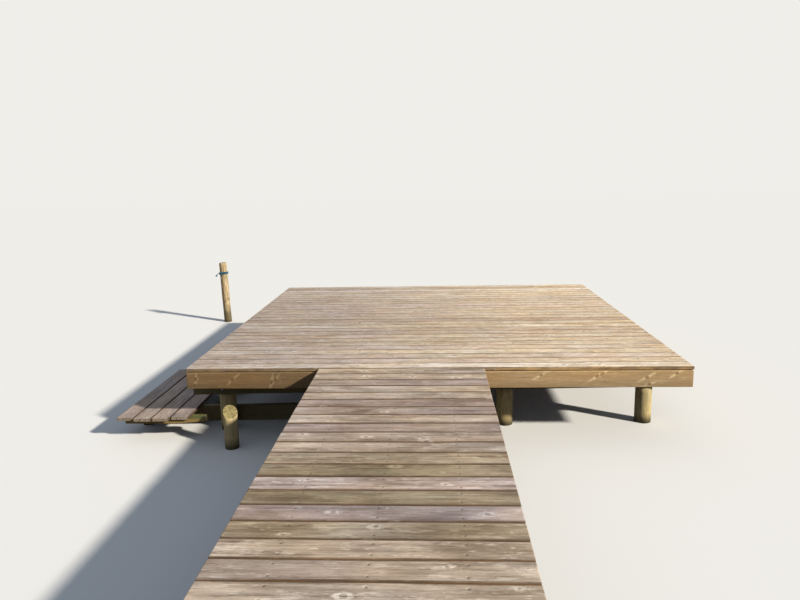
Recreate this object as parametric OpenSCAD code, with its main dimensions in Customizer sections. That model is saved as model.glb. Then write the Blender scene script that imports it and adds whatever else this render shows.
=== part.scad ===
// Wooden jetty: a square platform on round posts, the gangway that leads out to it,
// a low landing at its left side and a leaning mooring pile. Sizes are in millimetres.
// X runs along the platform's boards, +Y points out over the water and Z = 0 is the lowest
// ground. The sizes are laid out from the middle of the platform's front edge, and the
// finished part is moved so that its origin is the middle of its own footprint.

/* [Platform] */
// Width of the platform, along its boards
deck_w = 4200; // [3600:50:4800]
// Number of boards from the front of the platform to its back
deck_rows = 28; // [24:1:32]
// Height of the walking surface above the lowest ground
deck_h = 670; // [620:10:1200]
// Gap between the platform's boards
deck_gap = 2.5; // [1:0.5:8]
// How far the boards' ends stand out past the frame under them
deck_overhang = 10; // [0:1:40]

/* [Boards] */
// Width of every walking board
board_w = 145; // [120:1:150]
// Thickness of every walking board
board_t = 28; // [22:1:36]

/* [Frame] */
// Thickness of the joists, bearers and facing beams
beam_t = 45; // [35:1:60]
// Height of the joists and bearers
beam_h = 145; // [120:5:170]
// Number of spaces between the joists across the platform
joist_spaces = 6; // [5:1:9]
// Height of the front and back facing beams
fascia_h = 137; // [115:1:150]
// Open joint between the facing beams and the boards above them
fascia_drop = 5; // [2:1:8]
// How far the facing beams stand out past the front and back boards
fascia_proud = 15; // [0:1:30]

/* [Posts and bearers] */
// Diameter of the platform's round posts
post_d = 145; // [120:5:170]
// Distance from each side of the platform in to its outer posts' middle
post_in = 223; // [200:1:400]
// Depth of the flat seat that each bearer has in its posts
housing = 20; // [8:1:30]
// Distance from the platform's front edge back to the front bearer's left end
front_bearer_y = 270; // [200:5:320]
// How far the front bearer's left end stands out past the frame
front_bearer_out = 60; // [0:5:70]
// Angle in degrees at which the front bearer runs back towards its right end
front_bearer_skew = 2.5; // [0:0.5:3]
// Distance from the platform's back edge forward to the back bearer
back_bearer_y = 330; // [200:5:500]

/* [Gangway] */
// Width of the gangway, along its boards
gangway_w = 1370; // [1200:10:1500]
// Distance from the platform's middle left to the gangway's middle
gangway_left = 280; // [0:10:400]
// Number of boards in each of the four bays
bay_rows = 10; // [8:1:12]
// Gap between the gangway's boards
gangway_gap = 10; // [4:1:14]
// Distance from the gangway's middle out to each side joist's middle
joist_out = 400; // [340:5:460]
// Diameter of the gangway's round posts
gangway_post_d = 120; // [100:5:140]
// Distance from each bay's shore end back to its bearer
support_in = 150; // [60:5:300]
// Length of each of the gangway's bearers
gangway_bearer_w = 1080; // [1060:10:1180]

/* [Landing] */
// Number of boards in the landing
landing_rows = 4; // [3:1:5]
// Gap between the landing's boards
landing_gap = 12; // [5:1:20]
// Length of the landing, from its foremost board end to its far end
landing_len = 1480; // [1200:10:1800]
// Distance from the platform's front edge back to the landing's foremost board end
landing_y = 25; // [20:1:60]
// Gap between the platform's side and the landing
landing_off = 43; // [40:1:120]
// Height of the landing's walking surface above the lowest ground
landing_h = 220; // [200:2:260]
// Height of the landing's two bearers
landing_beam_h = 145; // [95:5:150]
// Distance from the landing's far end forward to its back bearer
landing_bearer_in = 200; // [100:5:300]
// Diameter of the landing's short round posts
landing_post_d = 100; // [80:5:120]
// Depth of the flat seat that the landing's bearers have in their posts
landing_housing = 12; // [5:1:16]
// Width of the flat plank under the boards' near ends
plank_w = 120; // [100:5:150]
// Thickness of the plank
plank_t = 45; // [28:1:45]
// How far the plank's near edge lies back behind the foremost board end
plank_in = 70; // [60:1:90]
// Distance from the landing's outer side in to the plank's end
plank_end_in = 50; // [0:5:80]
// How far the plank stands out past the landing, towards the platform
plank_out = 155; // [100:5:160]
// Angle in degrees at which the plank's end towards the platform is sawn off
plank_askew = 18; // [0:1:25]
// Angle in degrees at which the plank's underside rises towards the same end
plank_rise = 4.5; // [0:0.5:5]

/* [Pile stub] */
// Diameter of the sawn-off pile in front of the platform
stub_d = 118; // [100:2:150]
// Height of the middle of its slanted cut
stub_h = 316; // [300:2:380]
// Slant of the cut in degrees
stub_slant = 36; // [0:1:40]
// Direction in which the cut faces, in degrees from straight ahead towards the right
stub_turn = 25; // [0:1:60]
// Distance from the platform's left side in to the stub's middle
stub_in = 379; // [350:1:450]
// Distance from the platform's front edge out to the stub's middle
stub_out = 70; // [60:5:300]

/* [Mooring pile] */
// Diameter of the mooring pile
pile_d = 115; // [90:5:150]
// Height of the middle of the pile's top above the lowest ground
pile_h = 944; // [850:10:1200]
// Lean of the pile to the left in degrees
pile_lean = 1.5; // [0:0.5:8]
// Distance from the platform's left side out to the pile's foot
pile_out = 1190; // [700:10:1500]
// Distance from the platform's back edge out to the pile's foot
pile_beyond = 810; // [300:10:1200]
// Diameter of the cord tied round the pile
cord_d = 12; // [8:0.5:14]
// Height of the cord's lowest turn, measured along the pile
cord_h = 762; // [700:2:820]

/* [Hidden] */
$fn = 64;

// Past the face of what a cutting shape goes through
cut = 1;

// Platform: boards on joists, joists on bearers, bearers in the posts' seats
deck_d = deck_rows * board_w + (deck_rows - 1) * deck_gap;
deck_groups = 4;
frame_w = deck_w - 2 * deck_overhang;
joist_z = deck_h - board_t - beam_h;
bearer_z = joist_z - beam_h;
fascia_z = deck_h - board_t - fascia_drop - fascia_h;
fascia_front = -fascia_proud;
fascia_back = deck_d + fascia_proud;
joist_start = fascia_front + beam_t;
joist_end = fascia_back - beam_t;
joist_pitch = (frame_w - beam_t) / joist_spaces;
inner_joists = joist_spaces - 1;
left_joists = floor(inner_joists / 2);
post_r = post_d / 2;
posts_across = 4;
post_spacing = (deck_w - 2 * post_in) / (posts_across - 1);
post_from_face = beam_t - housing + post_r;
middle_bearer_y = deck_d / 2 - beam_t;
back_bearer_face = deck_d - back_bearer_y;

// The front bearer runs at a slight angle, and its posts stand along it
bearer_left = -frame_w / 2 - front_bearer_out;
bearer_len = (frame_w + front_bearer_out) / cos(front_bearer_skew);

// Distance along the front bearer to what stands at x, this far behind its front face
function along_bearer(x, behind) =
    (x - bearer_left + behind * sin(front_bearer_skew)) / cos(front_bearer_skew);

function front_line_y(x, behind) =
    front_bearer_y + along_bearer(x, behind) * sin(front_bearer_skew)
    + behind * cos(front_bearer_skew);

function post_x(i) = (i - (posts_across + 1) / 2) * post_spacing;

// Gangway: bays of boards on three joists, with a bearer and two posts for each bay
bays = 4;
board_pitch = board_w + gangway_gap;
bay_len = bay_rows * board_pitch;
gangway_len = bays * bay_len;
gangway_x = -gangway_left;
joist_ends_gap = 3;
// The bay over whose bearer the joists' two lengths meet
joint_bay = 2;
gangway_post_r = gangway_post_d / 2;
gangway_post_from_face = beam_t - housing + gangway_post_r;

function support_y(bay) = -bay * bay_len + support_in;

// Landing: boards along Y on a long beam, which the two left front posts hold, and a back bearer
landing_w = landing_rows * board_w + (landing_rows - 1) * landing_gap;
landing_right = -deck_w / 2 - landing_off;
landing_left = landing_right - landing_w;
landing_under = landing_h - board_t;
landing_beam_z = landing_under - landing_beam_h;
landing_beam_face = post_from_face + post_r - landing_housing;
landing_beam_in = 30;
landing_beam_past = 60;
landing_bearer_face = landing_y + landing_len - landing_bearer_in;
landing_post_r = landing_post_d / 2;
landing_post_from_face = beam_t - landing_housing + landing_post_r;
outer_post_x = landing_left + landing_beam_in + landing_post_r;
inner_post_x = landing_right + landing_post_r;
landing_bearer_past = 40;
// How far the near ends of the boards lie behind the foremost one, in turn from the left
near_ends = [22, 0, 4, 42];
plank_len = landing_w - plank_end_in + plank_out;
// Length of the part of the plank whose underside rises
plank_thinned = 265;

stub_r = stub_d / 2;

// Mooring pile, leaning to the left about its foot
pile_r = pile_d / 2;
pile_x = -deck_w / 2 - pile_out;
pile_y = deck_d + pile_beyond;
pile_len = pile_h / cos(pile_lean);
pile_below = 60;

// Cord, in the pile's own frame: turns round it, which start and end at its front, then a tail
cord_r = cord_d / 2;
cord_lift = 1.2;
turn_r = pile_r + cord_r + cord_lift;
turn_step = 18;
turn_start = -90;
turn_total = 1080;
turn_gap = 1;
turn_rise = cord_d + turn_gap;
turn_points = [
    for (a = [0 : turn_step : turn_total])
        [turn_r * cos(turn_start - a), turn_r * sin(turn_start - a), cord_h + turn_rise * a / 360]
];
// Points of the tail, which leaves to the left, measured from where the last turn ends
tail_steps = [
    [-22, -4, -2], [-43, -8, -8], [-60, -11, -16], [-73, -13, -25],
    [-83, -15, -34], [-90, -16, -43], [-95, -17, -52]
];
tail_points = [for (p = tail_steps) turn_points[len(turn_points) - 1] + p];
cord_route = concat(turn_points, tail_points);
cord_sides = 8;

// Middle of the part's footprint, measured from the middle of the platform's front edge
part_left = pile_x - pile_len * sin(pile_lean) - pile_r * cos(pile_lean);
part_right = deck_w / 2;
part_front = -gangway_len;
part_back = pile_y + pile_r;
centre_x = (part_left + part_right) / 2;
centre_y = (part_front + part_back) / 2;

module in_frame() {
    translate([-centre_x, -centre_y, 0]) children();
}

// One board lying along X, with its near left bottom corner at the origin
module cross_board(w) {
    cube([w, board_w, board_t]);
}

// A beam lying along X, standing on its edge
module beam(len, height = beam_h) {
    cube([len, beam_t, height]);
}

// Things placed in the front bearer's own line: x along it, y behind its front face
module on_bearer_line() {
    translate([bearer_left, front_bearer_y, 0]) rotate([0, 0, front_bearer_skew]) children();
}

module deck_boards(group) {
    first = floor((group - 1) * deck_rows / deck_groups);
    last = floor(group * deck_rows / deck_groups) - 1;
    color("#b59d80")
        for (row = [first : last])
            translate([-deck_w / 2, row * (board_w + deck_gap), deck_h - board_t])
                cross_board(deck_w);
}

module front_fascia() {
    color("#b0894f") translate([-frame_w / 2, fascia_front, fascia_z]) beam(frame_w, fascia_h);
}

module back_fascia() {
    color("#b0894f")
        translate([-frame_w / 2, fascia_back - beam_t, fascia_z]) beam(frame_w, fascia_h);
}

// One joist of the platform, counted from the left side beam
module deck_joist(i) {
    translate([-frame_w / 2 + i * joist_pitch, joist_start, joist_z])
        cube([beam_t, joist_end - joist_start, beam_h]);
}

module left_rim_joist() {
    color("#a98650") deck_joist(0);
}

module right_rim_joist() {
    color("#a98650") deck_joist(joist_spaces);
}

module left_deck_joists() {
    color("#a08255") for (i = [1 : left_joists]) deck_joist(i);
}

module right_deck_joists() {
    color("#a08255") for (i = [left_joists + 1 : inner_joists]) deck_joist(i);
}

module front_bearer() {
    color("#8f7a52") on_bearer_line() translate([0, 0, bearer_z]) beam(bearer_len);
}

module middle_bearer() {
    color("#8f7a52") translate([-frame_w / 2, middle_bearer_y, bearer_z]) beam(frame_w);
}

module back_bearer() {
    color("#8f7a52") translate([-frame_w / 2, back_bearer_face - beam_t, bearer_z]) beam(frame_w);
}

// A round post from the ground to a height
module round_post(x, y, r, top) {
    translate([x, y, 0]) cylinder(h = top, r = r);
}

// The seat that a bearer cuts, open at the top of the post
module seat_cut(len, bottom, top) {
    translate([0, 0, bottom]) cube([len, beam_t, top - bottom + cut]);
}

module landing_beam_shape() {
    right = along_bearer(post_x(2), landing_beam_face) + post_r + landing_beam_past;
    left = along_bearer(landing_left + landing_beam_in, landing_beam_face);
    on_bearer_line()
        translate([left, landing_beam_face, landing_beam_z]) beam(right - left, landing_beam_h);
}

module front_post(i) {
    y = front_line_y(post_x(i), post_from_face);
    color("#9a9361")
        difference() {
            round_post(post_x(i), y, post_r, joist_z);
            on_bearer_line() seat_cut(bearer_len, bearer_z, joist_z);
            landing_beam_shape();
        }
}

module middle_posts() {
    color("#948b5c")
        for (i = [1 : posts_across])
            difference() {
                round_post(post_x(i), middle_bearer_y + post_from_face, post_r, joist_z);
                translate([-frame_w / 2, middle_bearer_y, 0])
                    seat_cut(frame_w, bearer_z, joist_z);
            }
}

module back_posts() {
    color("#948b5c")
        for (i = [1 : posts_across])
            difference() {
                round_post(post_x(i), back_bearer_face - post_from_face, post_r, joist_z);
                translate([-frame_w / 2, back_bearer_face - beam_t, 0])
                    seat_cut(frame_w, bearer_z, joist_z);
            }
}

module gangway_boards(bay) {
    color("#96887b")
        for (row = [1 : bay_rows])
            translate([
                gangway_x - gangway_w / 2,
                -(bay - 1) * bay_len - row * board_pitch,
                deck_h - board_t
            ])
                cross_board(gangway_w);
}

// A gangway joist in two lengths, which meet over one of the bearers
module gangway_joist(x) {
    meet = support_y(joint_bay) + beam_t / 2;
    color("#9d8560") {
        translate([x - beam_t / 2, meet + joist_ends_gap / 2, joist_z])
            cube([beam_t, fascia_front - meet - joist_ends_gap / 2, beam_h]);
        translate([x - beam_t / 2, -gangway_len, joist_z])
            cube([beam_t, meet - joist_ends_gap / 2 + gangway_len, beam_h]);
    }
}

module gangway_bearer(bay) {
    color("#8f7a52")
        translate([gangway_x - gangway_bearer_w / 2, support_y(bay), bearer_z])
            beam(gangway_bearer_w);
}

module gangway_posts(bay) {
    color("#948b5c")
        for (side = [-1, 1])
            difference() {
                round_post(
                    gangway_x + side * joist_out,
                    support_y(bay) + gangway_post_from_face,
                    gangway_post_r,
                    joist_z
                );
                translate([gangway_x - gangway_bearer_w / 2, support_y(bay), 0])
                    seat_cut(gangway_bearer_w, bearer_z, joist_z);
            }
}

module landing_boards() {
    color("#a5948a")
        for (row = [0 : landing_rows - 1]) {
            back = near_ends[row % len(near_ends)];
            translate([landing_left + row * (board_w + landing_gap), landing_y + back, landing_under])
                cube([board_w, landing_len - back, board_t]);
        }
}

module landing_plank() {
    color("#a3934f")
        translate([landing_left + plank_end_in, landing_y + plank_in, landing_under - plank_t])
            difference() {
                cube([plank_len, plank_w, plank_t]);
                translate([plank_len, 0, -cut])
                    rotate([0, 0, plank_askew])
                        translate([0, -plank_w, 0]) cube([plank_w, 3 * plank_w, plank_t + 2 * cut]);
                translate([plank_len - plank_thinned, -cut, 0])
                    rotate([0, -plank_rise, 0])
                        translate([0, 0, -plank_t]) cube([2 * plank_thinned, plank_w + 2 * cut, plank_t]);
            }
}

module landing_beam() {
    color("#7d7554") landing_beam_shape();
}

module landing_back_bearer() {
    left = landing_left + landing_beam_in;
    right = inner_post_x + landing_post_r + landing_bearer_past;
    color("#7d7554")
        translate([left, landing_bearer_face, landing_beam_z]) beam(right - left, landing_beam_h);
}

// The short posts stand behind their bearers: one at the beam's outer end, two at the back
module landing_posts() {
    beam_post_y = front_line_y(outer_post_x, landing_beam_face + landing_post_from_face);
    back_post_y = landing_bearer_face + landing_post_from_face;
    color("#86835a")
        difference() {
            union() {
                round_post(outer_post_x, beam_post_y, landing_post_r, landing_under);
                round_post(outer_post_x, back_post_y, landing_post_r, landing_under);
                round_post(inner_post_x, back_post_y, landing_post_r, landing_under);
            }
            on_bearer_line()
                translate([-deck_w, landing_beam_face, 0])
                    seat_cut(2 * deck_w, landing_beam_z, landing_under);
            translate([-deck_w, landing_bearer_face, 0])
                seat_cut(2 * deck_w, landing_beam_z, landing_under);
        }
}

module pile_stub() {
    color("#b8a860")
        difference() {
            round_post(stub_in - deck_w / 2, -stub_out, stub_r, stub_h + stub_r);
            translate([stub_in - deck_w / 2, -stub_out, stub_h])
                rotate([0, 0, stub_turn])
                    rotate([stub_slant, 0, 0])
                        translate([-stub_d, -stub_d, 0]) cube([2 * stub_d, 2 * stub_d, stub_d]);
        }
}

// The pile's own frame: its foot at the ground, its axis leaning to the left
module in_pile_frame() {
    translate([pile_x, pile_y, 0]) rotate([0, -pile_lean, 0]) children();
}

module mooring_pile() {
    color("#b08d57")
        difference() {
            in_pile_frame()
                translate([0, 0, -pile_below]) cylinder(h = pile_len + pile_below, r = pile_r);
            translate([pile_x - pile_d, pile_y - pile_d, -2 * pile_below])
                cube([2 * pile_d, 2 * pile_d, 2 * pile_below]);
        }
}

function unit(v) = v / norm(v);

// Direction of the route at one of its points
function heading(route, i) =
    unit(route[min(i + 1, len(route) - 1)] - route[max(i - 1, 0)]);

// The corners of one ring of the tube, square to the route and kept level
function ring(route, i, r, sides) =
    let (
        along = heading(route, i),
        side = unit(cross(along, [0, 0, 1])),
        up = cross(side, along)
    )
    [for (k = [0 : sides - 1])
        route[i] + r * (cos(360 * k / sides) * side + sin(360 * k / sides) * up)];

// A round tube along a route of points
module tube(route, r, sides) {
    rings = len(route);
    corners = [for (i = [0 : rings - 1]) each ring(route, i, r, sides)];
    walls = [
        for (i = [0 : rings - 2])
            for (k = [0 : sides - 1])
                [
                    i * sides + k,
                    (i + 1) * sides + k,
                    (i + 1) * sides + (k + 1) % sides,
                    i * sides + (k + 1) % sides
                ]
    ];
    near_end = [for (k = [0 : sides - 1]) k];
    far_end = [for (k = [sides - 1 : -1 : 0]) (rings - 1) * sides + k];
    polyhedron(points = corners, faces = concat(walls, [near_end, far_end]), convexity = 10);
}

module mooring_cord() {
    color("#1f6a9c") in_pile_frame() tube(cord_route, cord_r, cord_sides);
}

in_frame() deck_boards(1);  // deck_boards_1
in_frame() deck_boards(2);  // deck_boards_2
in_frame() deck_boards(3);  // deck_boards_3
in_frame() deck_boards(4);  // deck_boards_4
in_frame() front_fascia();
in_frame() back_fascia();
in_frame() left_rim_joist();
in_frame() right_rim_joist();
in_frame() left_deck_joists();
in_frame() right_deck_joists();
in_frame() front_bearer();
in_frame() middle_bearer();
in_frame() back_bearer();
in_frame() front_post(1);  // front_post_1
in_frame() front_post(2);  // front_post_2
in_frame() front_post(3);  // front_post_3
in_frame() front_post(4);  // front_post_4
in_frame() middle_posts();
in_frame() back_posts();
in_frame() gangway_boards(1);  // gangway_boards_1
in_frame() gangway_boards(2);  // gangway_boards_2
in_frame() gangway_boards(3);  // gangway_boards_3
in_frame() gangway_boards(4);  // gangway_boards_4
in_frame() gangway_joist(gangway_x - joist_out);  // gangway_left_joist
in_frame() gangway_joist(gangway_x);  // gangway_middle_joist
in_frame() gangway_joist(gangway_x + joist_out);  // gangway_right_joist
in_frame() gangway_bearer(1);  // gangway_bearer_1
in_frame() gangway_bearer(2);  // gangway_bearer_2
in_frame() gangway_bearer(3);  // gangway_bearer_3
in_frame() gangway_bearer(4);  // gangway_bearer_4
in_frame() gangway_posts(1);  // gangway_posts_1
in_frame() gangway_posts(2);  // gangway_posts_2
in_frame() gangway_posts(3);  // gangway_posts_3
in_frame() gangway_posts(4);  // gangway_posts_4
in_frame() landing_boards();
in_frame() landing_plank();
in_frame() landing_beam();
in_frame() landing_back_bearer();
in_frame() landing_posts();
in_frame() pile_stub();
in_frame() mooring_pile();
in_frame() mooring_cord();
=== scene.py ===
import math
import random

import bmesh
import bpy
import numpy as np
from mathutils import Matrix, Vector, noise


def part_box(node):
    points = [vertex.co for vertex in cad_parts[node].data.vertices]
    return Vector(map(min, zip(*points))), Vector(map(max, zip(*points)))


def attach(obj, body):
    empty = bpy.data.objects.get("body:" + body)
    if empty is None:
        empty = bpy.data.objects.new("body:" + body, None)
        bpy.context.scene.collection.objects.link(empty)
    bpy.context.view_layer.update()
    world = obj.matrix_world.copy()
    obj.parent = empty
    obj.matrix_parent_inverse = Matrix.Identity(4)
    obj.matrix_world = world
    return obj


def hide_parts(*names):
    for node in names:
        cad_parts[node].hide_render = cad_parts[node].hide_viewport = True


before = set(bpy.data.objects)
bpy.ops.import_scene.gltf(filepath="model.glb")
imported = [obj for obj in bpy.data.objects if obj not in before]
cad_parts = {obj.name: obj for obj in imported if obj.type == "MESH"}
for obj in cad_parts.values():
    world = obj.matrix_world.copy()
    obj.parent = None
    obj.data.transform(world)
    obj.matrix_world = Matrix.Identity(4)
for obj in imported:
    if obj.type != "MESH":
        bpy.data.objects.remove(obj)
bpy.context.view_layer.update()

MM = 0.001
UP = Vector((0, 0, 1))

# What the CAD model says: the platform's top, its front edge and its middle
deck_low, deck_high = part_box("deck_boards_1")
DECK_TOP = deck_high.z
DECK_FRONT = deck_low.y
DECK_MIDDLE = (deck_low.x + deck_high.x) / 2


# Camera: where the photograph was taken from, measured from the middle of the platform's front edge.
# Its focal length is in pixels of a picture PHOTO_W wide

PHOTO_W = 800
FOCAL_PX = 665
SENSOR = 36
CAMERA_LEFT = 0.0024
CAMERA_BEFORE = 5.3025
CAMERA_ABOVE = 1.5626
CAMERA_PITCH = math.radians(10.575)
CAMERA_ROLL = math.radians(-1.14)
CAMERA_YAW = math.radians(-2.983)
NEAREST = 0.05
FARTHEST = 300


def place_camera():
    """The camera, turned by its yaw and pitch and then rolled."""
    ahead = Vector((
        math.sin(CAMERA_YAW) * math.cos(CAMERA_PITCH),
        math.cos(CAMERA_YAW) * math.cos(CAMERA_PITCH),
        -math.sin(CAMERA_PITCH),
    ))
    level_right = Vector((math.cos(CAMERA_YAW), -math.sin(CAMERA_YAW), 0))
    level_up = level_right.cross(ahead)
    right = math.cos(CAMERA_ROLL) * level_right + math.sin(CAMERA_ROLL) * level_up
    up = math.cos(CAMERA_ROLL) * level_up - math.sin(CAMERA_ROLL) * level_right
    data = bpy.data.cameras.new("photo_camera")
    data.sensor_width = SENSOR
    data.lens = FOCAL_PX / PHOTO_W * SENSOR
    data.clip_start = NEAREST
    data.clip_end = FARTHEST
    camera = bpy.data.objects.new("photo_camera", data)
    turn = Matrix((right, up, -ahead)).transposed().to_4x4()
    place = Vector((DECK_MIDDLE - CAMERA_LEFT, DECK_FRONT - CAMERA_BEFORE, DECK_TOP + CAMERA_ABOVE))
    camera.matrix_world = Matrix.Translation(place) @ turn
    bpy.context.scene.collection.objects.link(camera)
    bpy.context.scene.camera = camera


place_camera()


# Materials

def linear(code):
    """A colour written as sRGB hex, as the linear colour that a shader takes."""
    parts = [int(code[i:i + 2], 16) / 255 for i in (1, 3, 5)]
    return [c / 12.92 if c <= 0.04045 else ((c + 0.055) / 1.055) ** 2.4 for c in parts] + [1]


def add(tree, kind, inputs=None, stops=None, **settings):
    """Adds a node with its settings, links what comes from other nodes, and returns its output."""
    node = tree.nodes.new("ShaderNode" + kind)
    for key, value in settings.items():
        setattr(node, key, value)
    open_sockets = [s for s in node.inputs if s.enabled]
    for key, value in (inputs or {}).items():
        if isinstance(key, int):
            socket = open_sockets[key]
        else:
            socket = next(s for s in open_sockets if s.name == key)
        if isinstance(value, bpy.types.NodeSocket):
            tree.links.new(value, socket)
        elif isinstance(value, str):
            socket.default_value = linear(value)
        else:
            socket.default_value = value
    if stops:
        ramp = node.color_ramp
        for _ in stops[2:]:
            ramp.elements.new(0.5)
        for element, (position, code) in zip(ramp.elements, stops):
            element.position = position
            element.color = linear(code)
    return next(s for s in node.outputs if s.enabled)


def new_material(name, **plain):
    """A material, its node tree and its shader, with the shader's plain values set."""
    material = bpy.data.materials.new(name)
    material.use_nodes = True
    shader = material.node_tree.nodes["Principled BSDF"]
    for key, value in plain.items():
        shader.inputs[key.replace("_", " ").title().replace("Ior", "IOR")].default_value = value
    return material, material.node_tree, shader


# What distances along and across a knot are multiplied by: below one draws it out, above one narrows it
PLACED_HEART = (0.72, 1.15, 0)
PLACED_HALO = (0.22, 1.5, 0)
SCATTERED_HALO = (0.42, 0.78, 0)
# Colours of marks that all the wood has
CRACK_DARK = "#4a3d31"
# This colour also paints shade inside a post's drying crack
SCREW_STAIN_AND_CRACK_SHADE = "#33291f"
MAUVE = "#f7faff"
GOLDEN = "#fffaf2"
# About the mean of the tints, divided out so that they vary the wood without darkening it
TINT_MEAN = "#e4e3e1"
# The facing beams grow darker over this stretch of height, down to this share at their lower edge
LOW_EDGE = (DECK_TOP - 175 * MM, DECK_TOP - 100 * MM)
LOW_EDGE_SHARE = 0.72


def placed_knots(tree, face, knots):
    """Distances to the nearest of these knots, for its heart and for the pale halo along its slant."""
    nearest = None
    for along, across, slant in knots:
        step = add(tree, "VectorMath", {0: face, 1: (along, across, 0)}, operation="SUBTRACT")
        step = add(tree, "VectorMath", {0: step, 1: (1, 1, 0)}, operation="MULTIPLY")
        askew = add(tree, "VectorRotate", {"Vector": step, "Angle": slant}, rotation_type="Z_AXIS")
        pair = []
        for shape in (PLACED_HEART, PLACED_HALO):
            drawn = add(tree, "VectorMath", {0: askew, 1: shape}, operation="MULTIPLY")
            pair.append(add(tree, "VectorMath", {0: drawn}, operation="LENGTH"))
        if nearest:
            pair = [add(tree, "Math", {0: a, 1: b}, operation="MINIMUM") for a, b in zip(nearest, pair)]
        nearest = pair
    return nearest


def scattered_knots(tree, face, run, across):
    """The same distances to the nearest of many knots, about one in each run by across, and a number
    between 0 and 1 that the knot has for its own."""
    cells = add(tree, "VectorMath", {0: face, 1: (1 / run, 1 / across, 0)}, operation="MULTIPLY")
    knot = add(tree, "TexVoronoi", {"Vector": cells, "Scale": 1.0, "Randomness": 0.75},
               voronoi_dimensions="2D").node
    step = add(tree, "VectorMath", {0: cells, 1: knot.outputs["Position"]}, operation="SUBTRACT")
    step = add(tree, "VectorMath", {0: step, 1: (run, across, 0)}, operation="MULTIPLY")
    heart = add(tree, "VectorMath", {0: step}, operation="LENGTH")
    halo = add(tree, "VectorMath", {0: step, 1: SCATTERED_HALO}, operation="MULTIPLY")
    halo = add(tree, "VectorMath", {0: halo}, operation="LENGTH")
    chance = add(tree, "SeparateColor", {0: knot.outputs["Color"]})
    return heart, halo, chance


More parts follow.
